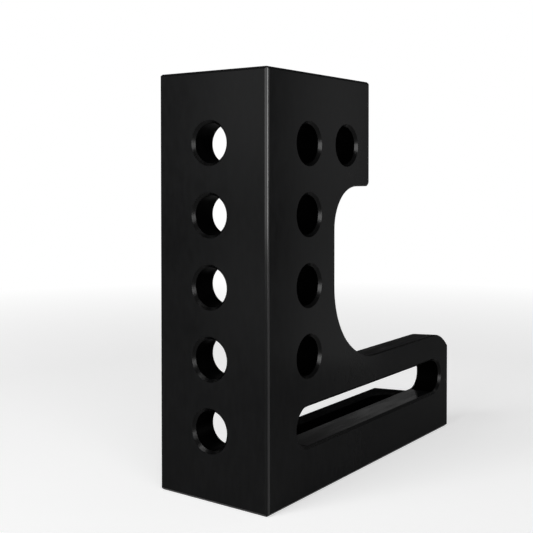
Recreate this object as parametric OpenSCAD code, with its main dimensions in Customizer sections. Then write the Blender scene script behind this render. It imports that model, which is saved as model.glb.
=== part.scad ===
// Stop and clamping angle for a welding table, left-hand version.
// One iron casting: a front wall, a side wall with an open C outline and a base flange.
// The mould draws towards -X, so every cast face that runs along X leans by the draft angle.
// Millimetres. Z is up, the front wall faces -Y and the side wall faces +X.
// The origin is at the middle of the footprint, on the table surface.

/* [Outer form] */
// Height of both walls
total_h = 300; // [280:1:360]
// Width of the front wall
front_w = 97; // [90:0.5:130]
// Length of the foot, from the front face to its end
foot_l = 275.5; // [268:0.5:320]
// Width of the base flange, from the side face to its free edge
base_w = 77; // [72:0.5:88]

/* [Walls] */
// Thickness of the side wall
side_t = 23; // [16:0.5:28]
// Thickness of the front wall at its free edge
front_t = 19.5; // [15:0.5:24]
// Thickness of the base flange at its free edge
base_t = 24.2; // [18:0.2:28]
// Draft of the cast faces, in degrees
draft = 3.5; // [0.5:0.5:5]

/* [Side outline] */
// Depth of the top arm
arm_d = 134.2; // [124:0.2:170]
// Height of the arm's underside
arm_z = 219.2; // [205:0.2:226]
// Depth of the column between the arm and the foot
mid_d = 83.8; // [74:0.2:94]
// Height of the foot
foot_h = 86.7; // [76:0.1:92]
// Radius under the arm
arm_r = 31; // [10:1:36]
// Radius above the foot
foot_r = 59; // [20:1:66]
// Radius of the foot's upper end corner
end_r = 40; // [12:1:44]
// Length of that corner cut away by the end face
end_trim = 9.5; // [0:0.5:11]

/* [Bores and slots] */
// Diameter of the bores and width of the slots
bore_d = 28; // [20:0.5:30]
// Pitch of the bore grid
pitch = 50; // [48:0.5:52]
// Number of bores up the front wall
front_bores = 5; // [3:1:5]
// Distance between the end centres of each slot
slot_run = 195; // [150:1:200]
// Chamfer on the outer mouths of the bores and slots
mouth_chamfer = 2; // [0.5:0.1:3]
// Chamfer on the inner mouths of the bores
back_chamfer = 1; // [0.5:0.1:2]

/* [Edges] */
// Chamfer on the machined edges
edge_chamfer = 2; // [0.5:0.1:3]
// Chamfer round the open outline, on the machined side
outline_chamfer = 1; // [0.5:0.1:2]
// Rounding of the cast edges
cast_r = 2; // [1:0.5:4]
// Fillet between the walls and the base
root_r = 6; // [3:0.5:8]
// Radius of the base flange's free corner, seen from above
base_corner_r = 4; // [2:0.5:8]

/* [Hidden] */
$fn = 96;
iron = "#26282a";
over = 0.5;                       // how far a cutter runs past the metal
sink = 0.03;                      // how far a straight fillet is sunk into two drafted faces
lap = 0.2;                        // how far a sloping edge run laps over the next one
slope = tan(draft);
side_x = front_w / 2;             // machined side face
left_x = side_x - front_w;        // free edge of the front wall
inner_x = side_x - side_t;        // inner face of the side wall
base_x = side_x - base_w;         // free edge of the base flange
bore_x = side_x - pitch;          // centre line of the front bores and the base slot
front_y = -foot_l / 2;            // machined front face
end_y = front_y + foot_l;         // end face of the foot
arm_y = front_y + arm_d;          // end face of the arm
mid_y = front_y + mid_d;          // open edge of the column
corner_y = end_y + end_trim - end_r;
bore_y = front_y + pitch;         // centre line of the side bores, first centre of the slots
bore_r = bore_d / 2;
under_arm_r = min(arm_r, arm_d - mid_d);

// Rounds a length to a hundredth, so that cutters that meet end on the same plane
function tidy(length) = round(length * 100) / 100;

// Height of the base flange's upper face, and place of the front wall's inner face
function base_top(x) = base_t + (x - base_x) * slope;
function front_back(x) = front_y + front_t + (x - left_x) * slope;

// Edge profiles: the sharp edge is at the origin and the metal is towards +X +Y
module chamfer_profile(size = edge_chamfer) {
    polygon([[-over, -over], [size + over, -over], [-over, size + over]]);
}

module round_profile(size) {
    difference() {
        translate([-over, -over])
            square(size + over);
        translate([size, size])
            circle(size);
    }
}

// Rounds an edge whose second face rises by the draft angle, away from the edge
module drafted_round_profile() {
    centre = [cast_r, cast_r / cos(draft) - cast_r * slope];
    past = centre - (cast_r + over) * [sin(draft), cos(draft)];
    difference() {
        polygon([[-over, centre[1]], centre, past, [-over, past[1] + over * slope]]);
        translate(centre)
            circle(cast_r);
    }
}

// Fills a corner between a wall on the right of the origin and a floor that falls away to the left
module root_fill() {
    fall = tidy(root_r * slope);
    centre = [-root_r, root_r - fall];
    difference() {
        polygon([centre, [over, centre[1]], [over, -over], [-root_r, -fall - over]]);
        translate(centre)
            circle(root_r);
    }
}

// Section of a flange: machined face on local X, free edge on local Y, drafted inner face on top
module flange_profile(width, free_t) {
    root = width - side_t;
    difference() {
        polygon([[0, 0], [root + over, 0], [root + over, free_t + root * slope], [0, free_t]]);
        translate([0, free_t])
            mirror([0, 1])
                drafted_round_profile();
    }
    translate([root, free_t + root * slope])
        root_fill();
}

// Mirrors the children where a sign is negative
module toward(x, y, z) {
    mirror([x < 0 ? 1 : 0, 0, 0])
        mirror([0, y < 0 ? 1 : 0, 0])
            mirror([0, 0, z < 0 ? 1 : 0])
                children();
}

// Runs a profile along an edge parallel to X at [y, z], with the metal on the given sides
module x_edge(from, to, y, z, sides) {
    translate([from, y, z])
        toward(1, sides[0], sides[1])
            rotate([90, 0, 90])
                linear_extrude(to - from)
                    children();
}

// Runs a profile along an edge parallel to Y at [x, z]
module y_edge(from, to, x, z, sides) {
    translate([x, from, z])
        toward(sides[0], -1, sides[1])
            rotate([90, 0, 0])
                linear_extrude(to - from)
                    children();
}

// Runs a profile along an edge parallel to Z at [x, y]
module z_edge(from, to, x, y, sides) {
    translate([x, y, from])
        toward(sides[0], sides[1], 1)
            linear_extrude(to - from)
                children();
}

// Sweeps an edge profile round part of a circle about local Z. The profile's X becomes the depth
// below local Z = 0 and its Y the distance into the metal, outside or inside the circle.
module arc_edge(radius, from_angle, turn, metal) {
    rotate(from_angle)
        rotate_extrude(angle = turn)
            translate([radius, 0])
                mirror([metal < 0 ? 1 : 0, 0])
                    mirror([1, -1])
                        children();
}

// Stands local X up, lays local Y along +Y and points local Z to the into side along X
module face_arc(x, y, z, into) {
    translate([x, y, z])
        toward(-into, 1, 1)
            rotate([0, -90, 0])
                children();
}

// How far the open outline stands back at a distance behind the machined side face
function set_back(depth) = tidy(depth * slope);

// Plate section across the thickness, cut by a face that leans back from the given place.
// Local X is the place along Y or Z and local Y is the depth behind the side face.
module leaning_section(place, sign, far) {
    polygon([
        [place + sign * set_back(over), -over],
        [place - sign * set_back(side_t + over), side_t + over],
        [far, side_t + over],
        [far, -over],
    ]);
}

// Cone whose circle on the side face has the given radius, growing or shrinking by the draft
module face_cone(y, z, radius, grow) {
    translate([side_x + over, y, z])
        rotate([0, -90, 0])
            cylinder(
                r1 = radius - grow * set_back(over),
                r2 = radius + grow * set_back(side_t + over),
                h = side_t + 2 * over
            );
}

// The open space of the C, wider on the inner side
module side_opening() {
    arm_cy = mid_y + under_arm_r;
    arm_cz = arm_z - under_arm_r;
    foot_cy = mid_y + foot_r;
    foot_cz = foot_h + foot_r;
    mid_z = (arm_cz + foot_cz) / 2;
    far_y = end_y + end_r;
    reach = side_t + 2 * over;
    // straight edge of the column
    translate([side_x, 0, foot_cz])
        rotate([0, 0, 90])
            linear_extrude(arm_cz - foot_cz)
                leaning_section(mid_y, 1, far_y);
    // underside of the arm
    translate([side_x, arm_cy, 0])
        toward(1, -1, 1)
            rotate([90, -90, 0])
                linear_extrude(far_y - arm_cy)
                    leaning_section(arm_z, -1, mid_z);
    // top of the foot
    translate([side_x, foot_cy, 0])
        toward(1, -1, 1)
            rotate([90, -90, 0])
                linear_extrude(far_y - foot_cy)
                    leaning_section(foot_h, 1, mid_z);
    // the two concave corners, each one quarter of a cone
    intersection() {
        face_cone(arm_cy, arm_cz, under_arm_r, 1);
        translate([inner_x - over, arm_cy, arm_cz])
            toward(1, -1, 1)
                cube([reach, 2 * under_arm_r, 2 * under_arm_r]);
    }
    intersection() {
        face_cone(foot_cy, foot_cz, foot_r, 1);
        translate([inner_x - over, foot_cy, foot_cz])
            toward(1, -1, -1)
                cube([reach, 2 * foot_r, 2 * foot_r]);
    }
    // beyond the arm's end
    translate([inner_x - over, arm_y, mid_z])
        cube([reach, far_y - arm_y, total_h]);
    // upper end corner of the foot
    difference() {
        translate([inner_x - over, corner_y, foot_h - end_r])
            cube([reach, 2 * end_r, 2 * end_r]);
        face_cone(corner_y, foot_h - end_r, end_r, -1);
    }
}

module side_wall() {
    difference() {
        translate([inner_x, front_y, 0])
            cube([side_t, foot_l, total_h]);
        side_opening();
    }
}

module front_wall() {
    translate([left_x, front_y, 0])
        linear_extrude(total_h)
            flange_profile(front_w, front_t);
}

module base_flange() {
    y_edge(front_y + front_t / 2, end_y, base_x, 0, [1, 1])
        flange_profile(base_w, base_t);
    // fillet along the line where the two drafted faces meet
    intersection() {
        translate([base_x, front_back(base_x), base_t])
            rotate([0, 0, draft])
                rotate([0, -atan(sin(draft)), 0])
                    x_edge(-root_r, base_w, -sink, -sink, [1, 1])
                        round_profile(root_r);
        translate([base_x + cast_r, front_y, 0])
            cube([base_w - cast_r - side_t + over, front_w, total_h]);
    }
    translate([base_x, front_back(base_x), 0])
        linear_extrude(base_t - cast_r)
            root_fill();
}

// Straight bore with its outer mouth on local Z = 0 and the metal below
module bore(depth) {
    translate([0, 0, -depth - over])
        cylinder(r = bore_r, h = depth + 2 * over);
    mouth(mouth_chamfer);
}

// Conical mouth at local Z = 0, started inside the bore so that it may be tilted
module mouth(size) {
    translate([0, 0, -size - over])
        cylinder(r1 = bore_r - over, r2 = bore_r + size + over, h = size + 2 * over);
}

// Slot with round ends along local X, from the origin to slot_run, below local Z = 0
module slot(depth) {
    translate([0, 0, -depth]) {
        cylinder(r = bore_r, h = depth + over);
        translate([slot_run, 0, 0])
            cylinder(r = bore_r, h = depth + over);
        translate([0, -bore_r, 0])
            cube([slot_run, bore_d, depth + over]);
    }
}

// Chamfer round a slot's mouth, with the face at local Z = 0
module slot_mouth() {
    low = mouth_chamfer + over;
    mouth(mouth_chamfer);
    translate([slot_run, 0, 0])
        mouth(mouth_chamfer);
    x_edge(0, slot_run, 0, 0, [1, 1])
        polygon([
            [over - bore_r, -low],
            [bore_r - over, -low],
            [bore_r + low, over],
            [-bore_r - low, over],
        ]);
}

module front_bore_column() {
    for (i = [1 : front_bores]) {
        translate([bore_x, front_y, i * pitch])
            rotate([90, 0, 0])
                bore(front_back(inner_x) - front_y);
        translate([bore_x, front_back(bore_x), i * pitch])
            rotate([-90, 0, draft])
                mouth(back_chamfer);
    }
}

module side_bore(y_steps, z_steps) {
    translate([side_x, front_y + y_steps * pitch, z_steps * pitch])
        rotate([90, 0, 90])
            bore(side_t);
    translate([inner_x, front_y + y_steps * pitch, z_steps * pitch])
        rotate([0, -90, 0])
            mouth(back_chamfer);
}

module side_slot() {
    translate([side_x, bore_y, pitch])
        rotate([90, 0, 90]) {
            slot(side_t + root_r);
            slot_mouth();
        }
}

module base_slot() {
    translate([bore_x, bore_y, base_top(bore_x)]) {
        rotate([0, 0, 90])
            slot(base_top(bore_x) + over);
        rotate([0, -draft, 0])
            rotate([0, 0, 90])
                slot_mouth();
    }
    translate([bore_x, bore_y, 0])
        rotate([180, 0, 90])
            slot_mouth();
}

// Runs a profile along the open outline, at a depth behind the side face.
// The metal lies on the into side of that depth, -1 or +1 along X.
module open_outline_edges(depth, into) {
    x = side_x - depth;
    back = set_back(depth);
    z_edge(arm_z - over, total_h + over, x, arm_y, [into, -1])
        children();
    y_edge(mid_y + under_arm_r, arm_y + over, x, arm_z + back, [into, 1])
        children();
    z_edge(foot_h + foot_r, arm_z - under_arm_r, x, mid_y - back, [into, -1])
        children();
    y_edge(mid_y + foot_r, corner_y, x, foot_h - back, [into, -1])
        children();
    face_arc(x, mid_y + under_arm_r, arm_z - under_arm_r, into)
        arc_edge(under_arm_r + back, 270, 90, 1)
            children();
    face_arc(x, mid_y + foot_r, foot_h + foot_r, into)
        arc_edge(foot_r + back, 180, 90, 1)
            children();
    face_arc(x, corner_y, foot_h - end_r, into)
        arc_edge(end_r - back, 0, 90, -1)
            children();
}

// Runs a profile along the inner line of a flange section, across its root fillet and up the side wall.
// Local X and Y are the section's own and the metal is above local Z = 0.
module inner_line_edges(width, free_t, reach) {
    fill_x = width - side_t - root_r;
    fill_y = tidy(free_t + fill_x * slope) + root_r;
    translate([fill_x, fill_y, 0]) {
        translate([0, -root_r, 0])
            rotate(draft)
                x_edge(-fill_x / cos(draft) - over, lap, 0, 0, [-1, 1])
                    children();
        arc_edge(root_r, 270, 90, 1)
            children();
        y_edge(0, tidy(reach - fill_y), root_r, 0, [1, 1])
            children();
    }
}

// Chamfers round the machined faces
module machined_edges() {
    open_outline_edges(0, -1)
        chamfer_profile(outline_chamfer);
    z_edge(arm_z - over, total_h + over, side_x, arm_y, [-1, -1])
        chamfer_profile();
    // lower edge of the arm's end, along the leaning underside
    translate([side_x, arm_y, arm_z])
        rotate([0, draft, 0])
            x_edge(-side_t - 2 * over, 2 * over, 0, 0, [-1, 1])
                chamfer_profile();
    z_edge(-over, foot_h, side_x, end_y, [-1, -1])
        chamfer_profile();
    // front face
    z_edge(-over, total_h + over, side_x, front_y, [-1, 1])
        chamfer_profile();
    z_edge(-over, total_h + over, left_x, front_y, [1, 1])
        chamfer_profile();
    x_edge(left_x - over, side_x + over, front_y, total_h, [1, -1])
        chamfer_profile();
    x_edge(left_x - over, side_x + over, front_y, 0, [1, 1])
        chamfer_profile();
    // top faces of the walls
    y_edge(front_y - over, arm_y + over, side_x, total_h, [-1, -1])
        chamfer_profile();
    y_edge(front_y - over, front_y + front_t, left_x, total_h, [1, -1])
        chamfer_profile();
    x_edge(inner_x - over, side_x + over, arm_y, total_h, [-1, -1])
        chamfer_profile();
    // underside
    y_edge(front_y - over, end_y + over, side_x, 0, [-1, 1])
        chamfer_profile();
    y_edge(front_y - over, front_y + front_t, left_x, 0, [1, 1])
        chamfer_profile();
    y_edge(front_back(base_x) + root_r, end_y + over, base_x, 0, [1, 1])
        chamfer_profile();
    x_edge(base_x - over, side_x + over, end_y, 0, [-1, 1])
        chamfer_profile();
}

// Rounded edges on the inner side of the walls
module cast_edges() {
    open_outline_edges(side_t, 1)
        drafted_round_profile();
    // top of the front and side walls
    translate([left_x, front_y, total_h])
        toward(1, 1, -1)
            inner_line_edges(front_w, front_t, arm_d + over)
                round_profile(cast_r);
    // end of the base flange and of the side wall
    translate([base_x, end_y, 0])
        rotate([90, 0, 0])
            inner_line_edges(base_w, base_t, foot_h)
                round_profile(cast_r);
    z_edge(-over, total_h, base_x, end_y, [1, -1])
        round_profile(base_corner_r);
}

module clamping_angle() {
    color(iron)
        difference() {
            union() {
                front_wall();
                side_wall();
                base_flange();
            }
            front_bore_column();
            for (z_steps = [2 : 5])
                side_bore(1, z_steps);
            side_bore(2, 5);
            side_slot();
            base_slot();
            machined_edges();
            cast_edges();
        }
}

clamping_angle();
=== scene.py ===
import bpy
import math
from mathutils import Euler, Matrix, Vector


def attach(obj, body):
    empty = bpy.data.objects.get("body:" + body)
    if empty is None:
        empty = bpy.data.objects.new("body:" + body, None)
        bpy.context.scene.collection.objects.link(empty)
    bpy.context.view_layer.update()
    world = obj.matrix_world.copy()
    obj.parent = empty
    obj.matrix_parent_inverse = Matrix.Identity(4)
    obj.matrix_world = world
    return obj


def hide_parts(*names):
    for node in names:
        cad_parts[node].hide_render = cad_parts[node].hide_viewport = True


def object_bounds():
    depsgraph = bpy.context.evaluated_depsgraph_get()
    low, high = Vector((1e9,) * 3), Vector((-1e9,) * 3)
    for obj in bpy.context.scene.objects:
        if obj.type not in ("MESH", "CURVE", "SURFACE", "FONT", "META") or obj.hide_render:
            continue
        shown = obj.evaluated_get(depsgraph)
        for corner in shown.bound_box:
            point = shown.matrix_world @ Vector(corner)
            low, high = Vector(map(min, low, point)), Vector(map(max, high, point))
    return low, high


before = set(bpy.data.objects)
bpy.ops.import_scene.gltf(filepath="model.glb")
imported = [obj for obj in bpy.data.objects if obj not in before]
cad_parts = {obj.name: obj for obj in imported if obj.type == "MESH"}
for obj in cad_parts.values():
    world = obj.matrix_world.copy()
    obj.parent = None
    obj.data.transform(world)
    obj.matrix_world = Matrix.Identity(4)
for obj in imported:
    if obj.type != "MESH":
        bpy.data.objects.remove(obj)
cadBox = [list(corner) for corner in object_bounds()]
print("stage: frame loaded")


# Small helpers for node trees
def addNode(tree, kind, place, **settings):
    node = tree.nodes.new(kind)
    node.location = place
    for name, value in settings.items():
        setattr(node, name, value)
    return node


def link(tree, fromSocket, toSocket):
    tree.links.new(fromSocket, toSocket)


def mathNode(tree, operation, place, *values):
    node = addNode(tree, "ShaderNodeMath", place, operation=operation)
    for socket, value in zip(node.inputs, values):
        if isinstance(value, (int, float)):
            socket.default_value = value
        else:
            link(tree, value, socket)
    return node.outputs[0]


def rangeNode(tree, place, value, low, high, newLow=0.0, newHigh=1.0):
    node = addNode(tree, "ShaderNodeMapRange", place)
    link(tree, value, node.inputs["Value"])
    node.inputs["From Min"].default_value = low
    node.inputs["From Max"].default_value = high
    node.inputs["To Min"].default_value = newLow
    node.inputs["To Max"].default_value = newHigh
    return node.outputs["Result"]


def noiseNode(tree, place, vector, scale, detail, roughness):
    node = addNode(tree, "ShaderNodeTexNoise", place)
    link(tree, vector, node.inputs["Vector"])
    node.inputs["Scale"].default_value = scale
    node.inputs["Detail"].default_value = detail
    node.inputs["Roughness"].default_value = roughness
    return node.outputs["Fac"]


def stretchNode(tree, place, vector, scale):
    node = addNode(tree, "ShaderNodeMapping", place)
    link(tree, vector, node.inputs["Vector"])
    node.inputs["Scale"].default_value = scale
    return node.outputs["Vector"]


# The angle: a merged copy of the CAD node, with two rounded corners and a finish for each kind of face; the
# bore and mouth finishes carry painted shade, and the milled and outline finishes painted light, in their
# colour
angleBody = {
    "mergeDistance": 0.000002,
    "flatAngle": 0.2,
    "edgeBreak": 0.00035,  # the modifier's clamping holds it to about a micron on this mesh
    "breakSegments": 3,
    "breakAngle": 32.0,
    "smoothAngle": 30.0,
    "wornRound": 0.0009,  # side border of the front corner, rubbed rounder than the other edges
    "wornLength": 0.1,  # its edges are longer than this
    "armRound": 0.0022,  # lower corner of the arm's end
    "armLength": 0.0003,
    "roundSegments": 4,
    "cornerReach": 0.0025,
    # places on the CAD node
    "pitch": 0.05,
    "boreRadius": 0.014,
    "boreX": -0.0015,  # of the front bores and the base slot
    "slotStart": -0.08775,
    "slotStop": 0.10725,
    "slotHeight": 0.05,
    "armEnd": -0.00355,
    "armLow": 0.2192,
    "armFrom": 0.2,
    "baseEdge": -0.0285,
    "baseTop": 0.03,
    "wallFrom": 0.02,  # the side wall is beyond this x
    "outlineFrom": 0.0256,
    "outlineLow": 0.08,
    # how near a face lies to what it belongs to
    "boreReach": 0.0004,
    "slotReach": 0.0002,
    "planeReach": 0.0001,
    "sideReach": 0.00005,
    "edgeBand": 0.0032,
    "mouthBand": 0.0028,
    # how a face's normal leans
    "across": 0.1,
    "upward": 0.9,
    "square": 0.9995,
    "cornerLean": 0.05,
    "outlineLean": 0.2,
}
low, high = cadBox
slotStart, slotStop, slotHeight = angleBody["slotStart"], angleBody["slotStop"], angleBody["slotHeight"]
# Axes of the front bores as (x, z), and of the side bores and the side slot's ends as (y, z)
frontAxes = [(angleBody["boreX"], angleBody["pitch"] * step) for step in range(1, 6)]
sideAxes = [(slotStart, angleBody["pitch"] * step) for step in range(1, 6)]
sideAxes += [(slotStart + angleBody["pitch"], angleBody["pitch"] * 5), (slotStop, slotHeight)]
slotNames = ["ground", "cast", "boreAlongYPaintedShade", "boreAlongXPaintedShade", "milledWithPaintedLight", "outline", "mouth", "edge", "worn"]


def nearWall(first, second, axis):
    away = math.hypot(first - axis[0], second - axis[1])
    return abs(away - angleBody["boreRadius"]) < angleBody["boreReach"]


def faceKind(centre, normal):
    x, y, z = centre
    size = angleBody
    radius, slotReach = size["boreRadius"], size["slotReach"]
    # Bore walls, the side slot's ceiling and the base slot's walls get the near-black bore finishes, whose
    # colour is painted shade
    if abs(normal.y) < size["across"] and any(nearWall(x, z, axis) for axis in frontAxes):
        return "boreAlongYPaintedShade"
    if abs(normal.x) < size["across"] and x > size["wallFrom"]:
        onSlotFloor = abs(z - slotHeight + radius) < slotReach and slotStart < y < slotStop
        # The slot floor takes the milled finish, whose lighter colour is painted light
        if onSlotFloor and normal.z > size["upward"]:
            return "milledWithPaintedLight"
        if any(nearWall(y, z, axis) for axis in sideAxes) or abs(z - slotHeight - radius) < slotReach:
            return "boreAlongXPaintedShade"
    inBaseSlot = abs(x - size["boreX"]) < radius + slotReach and slotStart - radius < y < slotStop + radius
    if abs(normal.z) < size["across"] and z < size["baseTop"] and inBaseSlot:
        return "boreAlongXPaintedShade"
    # gaps to the outer planes, the arm's end and the base flange's edge
    gaps = [high[0] - x, y - low[1], high[2] - z, z, x - low[0], high[1] - y]
    if z > size["armFrom"]:
        gaps.append(abs(y - size["armEnd"]))
    if z < size["baseTop"]:
        gaps.append(abs(x - size["baseEdge"]))
    if max(abs(value) for value in normal) > size["square"]:
        return "ground" if min(gaps) < size["planeReach"] else "cast"
    inBand = [gap < size["edgeBand"] for gap in gaps]
    if inBand[0] and inBand[1] and abs(abs(normal.x) - abs(normal.y)) > size["cornerLean"]:
        return "worn"
    if sum(inBand) > 1:
        return "edge"
    # Chamfers beside one outer face take the mouth finish, whose darker colour is painted shade
    if min(gaps[:4]) < size["mouthBand"]:
        return "mouth"
    # The C-cut's cast faces take the outline finish, a lighter copy of the cast finish that is painted light
    onOutline = x > size["outlineFrom"] and z > size["outlineLow"] and abs(normal.x) < size["outlineLean"]
    return "outline" if onOutline else "cast"


def isWornBorder(*ends):
    onSide = all(abs(end.x - high[0]) < angleBody["sideReach"] for end in ends)
    inFront = all(end.y < low[1] + angleBody["cornerReach"] for end in ends)
    return onSide and inFront and abs(ends[0].z - ends[1].z) > angleBody["wornLength"]


def isArmCorner(*ends):
    atEnd = all(abs(end.y - angleBody["armEnd"]) < angleBody["cornerReach"] for end in ends)
    atBottom = all(abs(end.z - angleBody["armLow"]) < angleBody["cornerReach"] for end in ends)
    return atEnd and atBottom and abs(ends[0].x - ends[1].x) > angleBody["armLength"]


def roundEdges(body, wanted, offset):
    bpy.ops.object.mode_set(mode="EDIT")
    bpy.ops.mesh.select_mode(type="EDGE")
    bpy.ops.mesh.select_all(action="DESELECT")
    bpy.ops.object.mode_set(mode="OBJECT")
    for edge in body.data.edges:
        edge.select = wanted(*(body.data.vertices[index].co for index in edge.vertices))
    bpy.ops.object.mode_set(mode="EDIT")
    bpy.ops.mesh.bevel(offset=offset, segments=angleBody["roundSegments"], affect="EDGES")
    bpy.ops.object.mode_set(mode="OBJECT")


def makeAngleBody():
    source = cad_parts["clamping_angle"]
    body = source.copy()
    body.data = source.data.copy()
    body.name = "angleBody"
    bpy.context.collection.objects.link(body)
    bpy.ops.object.select_all(action="DESELECT")
    body.select_set(True)
    bpy.context.view_layer.objects.active = body
    bpy.ops.mesh.customdata_custom_splitnormals_clear()
    bpy.ops.object.mode_set(mode="EDIT")
    bpy.ops.mesh.select_all(action="SELECT")
    bpy.ops.mesh.remove_doubles(threshold=angleBody["mergeDistance"])
    bpy.ops.mesh.dissolve_limited(angle_limit=math.radians(angleBody["flatAngle"]))
    bpy.ops.object.mode_set(mode="OBJECT")
    roundEdges(body, isWornBorder, angleBody["wornRound"])
    roundEdges(body, isArmCorner, angleBody["armRound"])
    bevel = body.modifiers.new("edgeBreak", "BEVEL")
    bevel.width = angleBody["edgeBreak"]
    bevel.segments = angleBody["breakSegments"]
    bevel.limit_method = "ANGLE"
    bevel.angle_limit = math.radians(angleBody["breakAngle"])
    bpy.ops.object.modifier_apply(modifier="edgeBreak")
    body.data.materials.clear()
    for name in slotNames:
        body.data.materials.append(ironFinishes[name])
    for face in body.data.polygons:
        face.material_index = slotNames.index(faceKind(face.center, face.normal))
    bpy.ops.object.shade_smooth_by_angle(angle=math.radians(angleBody["smoothAngle"]))
    weighted = body.modifiers.new("flatFaces", "WEIGHTED_NORMAL")
    weighted.keep_sharp = True
    bpy.ops.object.modifier_apply(modifier="flatFaces")
    return body


# Black satin iron: what its finishes share, and below it what each one has of its own
plainIron = {
    "tint": (1.0, 1.02, 1.05),
    "ior": 1.5,
    "stretch": (1, 1, 1),
    "grainNoise": (3.0, 0.6),  # detail and roughness
    "cloud": 0.4,  # share of the wide patches beside the grain
    "cloudScale": 18.0,
    "cloudNoise": (2.0, 0.5),
    "spread": 0.20,
    "streak": 0.045,
    "streakSpan": (0.3, 0.7),
    "bump": 0.02,
    "bumpDistance": 0.0002,
    "frontRough": 0.0,
}
finishLooks = {
    "ground": {
        "dark": 0.0056, "light": 0.0088, "roughness": 0.20, "specular": 0.050,
        "grain": 260, "stretch": (1, 1, 0.3), "bump": 0.004,
    },
    "cast": {
        "dark": 0.0030, "light": 0.0110, "roughness": 0.60, "specular": 0.0,
        "grain": 420, "stretch": (1, 0.35, 1), "bump": 0.35,
    },
    # Bore finishes: their near-black colour is painted shade inside the holes and slots; the stretched grain
    # and bump are tool marks
    "boreAlongYPaintedShade": {
        "dark": 0.0003, "light": 0.0010, "roughness": 0.35, "specular": 0.03,
        "grain": 1600, "stretch": (0.03, 1, 0.03), "bump": 0.25,
    },
    "boreAlongXPaintedShade": {
        "dark": 0.0003, "light": 0.0010, "roughness": 0.50, "specular": 0.01,
        "grain": 1600, "stretch": (1, 0.03, 0.03), "bump": 0.25,
    },
    # Milled slot floor: milling streaks, and a lighter colour that is painted light on the recessed upward
    # floor
    "milledWithPaintedLight": {
        "dark": 0.0030, "light": 0.0140, "roughness": 0.22, "specular": 0.036,
        "grain": 240, "stretch": (1, 0.12, 1), "bump": 0.60, "cloud": 0.2, "spread": 0.10, "streak": 0.1,
        "frontRough": 0.2, "frontSpan": (-0.110, 0.020),  # the slot floor is duller near the front
    },
    # C-cut outline: casting streaks, and a colour lighter than the inner cast faces that is painted light on
    # the lit foot top
    "outline": {
        "dark": 0.0010, "light": 0.0240, "roughness": 0.50, "specular": 0.02,
        "grain": 300, "stretch": (1, 0.08, 0.08), "bump": 0.60, "cloud": 0.1, "spread": 0.10, "streak": 0.2,
    },
    # Bore mouths and chamfers beside one face: a colour darker than the faces, painted shade
    "mouth": {"dark": 0.0012, "light": 0.0020, "roughness": 0.25, "specular": 0.20, "grain": 900},
    "edge": {"dark": 0.0060, "light": 0.0090, "roughness": 0.15, "specular": 0.13, "grain": 700},
    "worn": {
        "dark": 0.0060, "light": 0.0090, "roughness": 0.15, "specular": 0.50,
        "grain": 700, "stretch": (1, 1, 0.1), "ior": 1.7,
    },
}


def makeIron(name):
    look = {**plainIron, **finishLooks[name]}
    material = bpy.data.materials.new(name + "Iron")
    material.use_nodes = True
    tree = material.node_tree
    shader = tree.nodes["Principled BSDF"]
    shader.inputs["IOR"].default_value = look["ior"]
    shader.inputs["Specular IOR Level"].default_value = look["specular"]
    place = addNode(tree, "ShaderNodeTexCoord", (-1200, 0)).outputs["Object"]
    stretched = stretchNode(tree, (-1000, 0), place, look["stretch"])
    grain = noiseNode(tree, (-780, 100), stretched, look["grain"], *look["grainNoise"])
    cloud = noiseNode(tree, (-780, -200), place, look["cloudScale"], *look["cloudNoise"])
    patches = mathNode(tree, "MULTIPLY", (-560, -200), cloud, look["cloud"])
    tone = mathNode(tree, "MULTIPLY_ADD", (-560, 0), grain, 1.0 - look["cloud"], patches)
    mix = addNode(tree, "ShaderNodeMix", (-320, 200), data_type="RGBA")
    share = rangeNode(tree, (-320, 0), tone, 0.5 - look["spread"], 0.5 + look["spread"])
    link(tree, share, mix.inputs["Factor"])
    mix.inputs["A"].default_value = [look["dark"] * part for part in look["tint"]] + [1.0]
    mix.inputs["B"].default_value = [look["light"] * part for part in look["tint"]] + [1.0]
    link(tree, mix.outputs["Result"], shader.inputs["Base Color"])
    smoothest, roughest = look["roughness"] - look["streak"], look["roughness"] + look["streak"]
    rough = rangeNode(tree, (-320, -200), tone, *look["streakSpan"], smoothest, roughest)
    if look["frontRough"] > 0:
        split = addNode(tree, "ShaderNodeSeparateXYZ", (-780, -800))
        link(tree, place, split.inputs[0])
        dull = rangeNode(tree, (-560, -800), split.outputs["Y"], *look["frontSpan"], look["frontRough"], 0.0)
        rough = mathNode(tree, "ADD", (-120, -200), rough, dull)
    link(tree, rough, shader.inputs["Roughness"])
    bump = addNode(tree, "ShaderNodeBump", (-320, -400))
    bump.inputs["Strength"].default_value = look["bump"]
    bump.inputs["Distance"].default_value = look["bumpDistance"]
    link(tree, grain, bump.inputs["Height"])
    link(tree, bump.outputs["Normal"], shader.inputs["Normal"])
    return material


ironFinishes = {name: makeIron(name) for name in slotNames}
body = makeAngleBody()
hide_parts("clamping_angle")
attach(body, "root")
kinds = [slotNames[face.material_index] for face in body.data.polygons]
print("stage: angle", {name: kinds.count(name) for name in slotNames})

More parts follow.
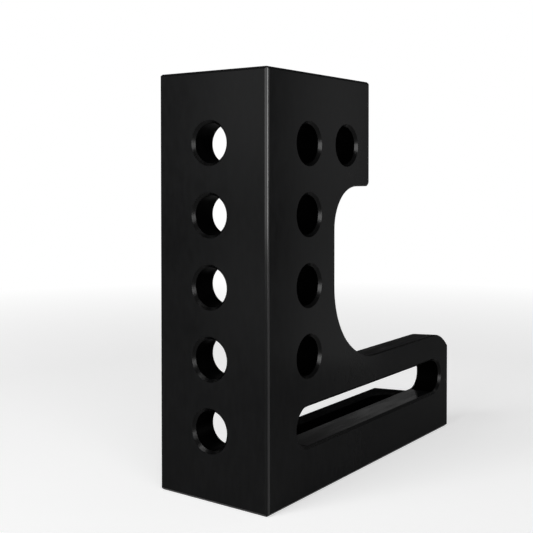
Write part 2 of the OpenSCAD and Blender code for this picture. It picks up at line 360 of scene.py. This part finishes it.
# Floor: plain and pale, lit near the object and plain white to the camera further out
floorLook = {
    "size": 40.0,
    "colour": (0.56, 0.56, 0.56, 1.0),
    "roughness": 0.9,
    "cameraGlow": 0.58,
    "whiteFrom": 0.45,
    "whiteTo": 1.2,
}
bpy.ops.object.select_all(action="DESELECT")
bpy.ops.mesh.primitive_plane_add(size=floorLook["size"], location=(0, 0, 0))
floor = bpy.context.object
floor.name = "floor"
floorMaterial = bpy.data.materials.new("floorPaint")
floorMaterial.use_nodes = True
tree = floorMaterial.node_tree
shader = tree.nodes["Principled BSDF"]
shader.inputs["Base Color"].default_value = floorLook["colour"]
shader.inputs["Roughness"].default_value = floorLook["roughness"]
shader.inputs["Specular IOR Level"].default_value = 0.0
rays = addNode(tree, "ShaderNodeLightPath", (-300, 300))
place = addNode(tree, "ShaderNodeTexCoord", (-900, -200))
distance = addNode(tree, "ShaderNodeVectorMath", (-700, -200), operation="LENGTH")
link(tree, place.outputs["Object"], distance.inputs[0])
away = rangeNode(tree, (-450, -200), distance.outputs["Value"], floorLook["whiteFrom"], floorLook["whiteTo"])
glow = addNode(tree, "ShaderNodeEmission", (0, 200))
glow.inputs["Strength"].default_value = floorLook["cameraGlow"]
white = addNode(tree, "ShaderNodeEmission", (0, 0))
both = addNode(tree, "ShaderNodeAddShader", (200, 200))
mixFar = addNode(tree, "ShaderNodeMixShader", (350, 200))
mix = addNode(tree, "ShaderNodeMixShader", (500, 200))
link(tree, shader.outputs[0], both.inputs[0])
link(tree, glow.outputs[0], both.inputs[1])
link(tree, away, mixFar.inputs[0])
link(tree, both.outputs[0], mixFar.inputs[1])
link(tree, white.outputs[0], mixFar.inputs[2])
link(tree, rays.outputs["Is Camera Ray"], mix.inputs[0])
link(tree, shader.outputs[0], mix.inputs[1])
link(tree, mixFar.outputs[0], mix.inputs[2])
link(tree, mix.outputs[0], tree.nodes["Material Output"].inputs["Surface"])
floor.data.materials.append(floorMaterial)
print("stage: floor")

# World: white to the camera; as light, bright near the horizon, dim overhead and dim towards one dark flag
studio = {
    "horizon": 0.24,
    "overhead": 0.11,
    "fadeFrom": 0.25,
    "fadeTo": 0.60,
    "flagDirection": (-0.663, 0.383, 0.643),
    "flagFrom": 0.31,
    "flagTo": 0.61,
    "flagDim": 0.15,
}
world = bpy.data.worlds.new("studio")
bpy.context.scene.world = world
world.use_nodes = True
tree = world.node_tree
background = tree.nodes["Background"]
background.inputs["Color"].default_value = (1, 1, 1, 1)
place = addNode(tree, "ShaderNodeTexCoord", (-1100, 0))
split = addNode(tree, "ShaderNodeSeparateXYZ", (-900, 0))
link(tree, place.outputs["Generated"], split.inputs[0])
fade = (studio["fadeFrom"], studio["fadeTo"], studio["horizon"], studio["overhead"])
height = rangeNode(tree, (-650, 0), split.outputs["Z"], *fade)
towards = addNode(tree, "ShaderNodeVectorMath", (-900, -250), operation="DOT_PRODUCT")
link(tree, place.outputs["Generated"], towards.inputs[0])
towards.inputs[1].default_value = studio["flagDirection"]
shade = (studio["flagFrom"], studio["flagTo"], 1.0, studio["flagDim"])
flag = rangeNode(tree, (-650, -250), towards.outputs["Value"], *shade)
link(tree, mathNode(tree, "MULTIPLY", (-400, 0), height, flag), background.inputs["Strength"])
seen = addNode(tree, "ShaderNodeBackground", (0, -200))
seen.inputs["Color"].default_value = (1, 1, 1, 1)
seen.inputs["Strength"].default_value = 1.0
rays = addNode(tree, "ShaderNodeLightPath", (-300, 300))
mix = addNode(tree, "ShaderNodeMixShader", (300, 0))
link(tree, rays.outputs["Is Camera Ray"], mix.inputs[0])
link(tree, background.outputs[0], mix.inputs[1])
link(tree, seen.outputs[0], mix.inputs[2])
link(tree, mix.outputs[0], tree.nodes["World Output"].inputs["Surface"])
print("stage: world")

# Lamps: name, place, target, width and height, power
lamps = [
    ("panelRight", (2.17, -1.375, 0.60), (0.05, -0.05, 0.20), (1.30, 1.20), 32.5),
    ("panelFront", (-0.75, -1.55, 0.60), (0.0, -0.13, 0.20), (0.80, 0.70), 2.8),
    ("glowFront", (-0.263, -0.595, 0.23), (0.0, -0.1378, 0.20), (0.18, 0.44), 0.24),
    ("glowSide", (0.286, 0.309, 0.19), (0.0485, -0.05, 0.19), (0.10, 0.38), 0.085),
    ("glowBack", (-0.68, 1.26, 0.44), (0.04, 0.0, 0.04), (0.50, 0.30), 0.16),
    ("panelTop", (-0.28, -1.87, 1.75), (0.05, 0.0, 0.0), (1.20, 1.00), 31.0),
]
for name, place, target, size, power in lamps:
    data = bpy.data.lights.new(name, "AREA")
    data.shape = "RECTANGLE"
    data.size, data.size_y = size
    data.energy = power
    lamp = bpy.data.objects.new(name, data)
    lamp.visible_camera = False
    bpy.context.collection.objects.link(lamp)
    lamp.location = place
    lamp.rotation_euler = (Vector(target) - Vector(place)).to_track_quat("-Z", "Y").to_euler()
print("stage: lamps")

# Camera from the fit to the photo's edges and bores
cameraFit = {
    "place": (0.405116, -0.617036, 0.227747),
    "pitch": 88.854,
    "yaw": 35.2369,
    "focalPixels": 907.113,
    "imagePixels": 533.0,
    "centre": (289.513, 193.359),
    "sensorWidth": 36.0,
    "clipStart": 0.01,
}
cameraData = bpy.data.cameras.new("camera")
cameraData.sensor_fit = "HORIZONTAL"
cameraData.sensor_width = cameraFit["sensorWidth"]
cameraData.lens = cameraFit["focalPixels"] / cameraFit["imagePixels"] * cameraFit["sensorWidth"]
half = cameraFit["imagePixels"] / 2
cameraData.shift_x = -(cameraFit["centre"][0] - half) / cameraFit["imagePixels"]
cameraData.shift_y = (cameraFit["centre"][1] - half) / cameraFit["imagePixels"]
cameraData.clip_start = cameraFit["clipStart"]
camera = bpy.data.objects.new("camera", cameraData)
bpy.context.collection.objects.link(camera)
camera.location = cameraFit["place"]
camera.rotation_euler = Euler((math.radians(cameraFit["pitch"]), 0, math.radians(cameraFit["yaw"])))
bpy.context.scene.camera = camera
bpy.context.scene.view_settings.view_transform = "Standard"
print("stage: camera")
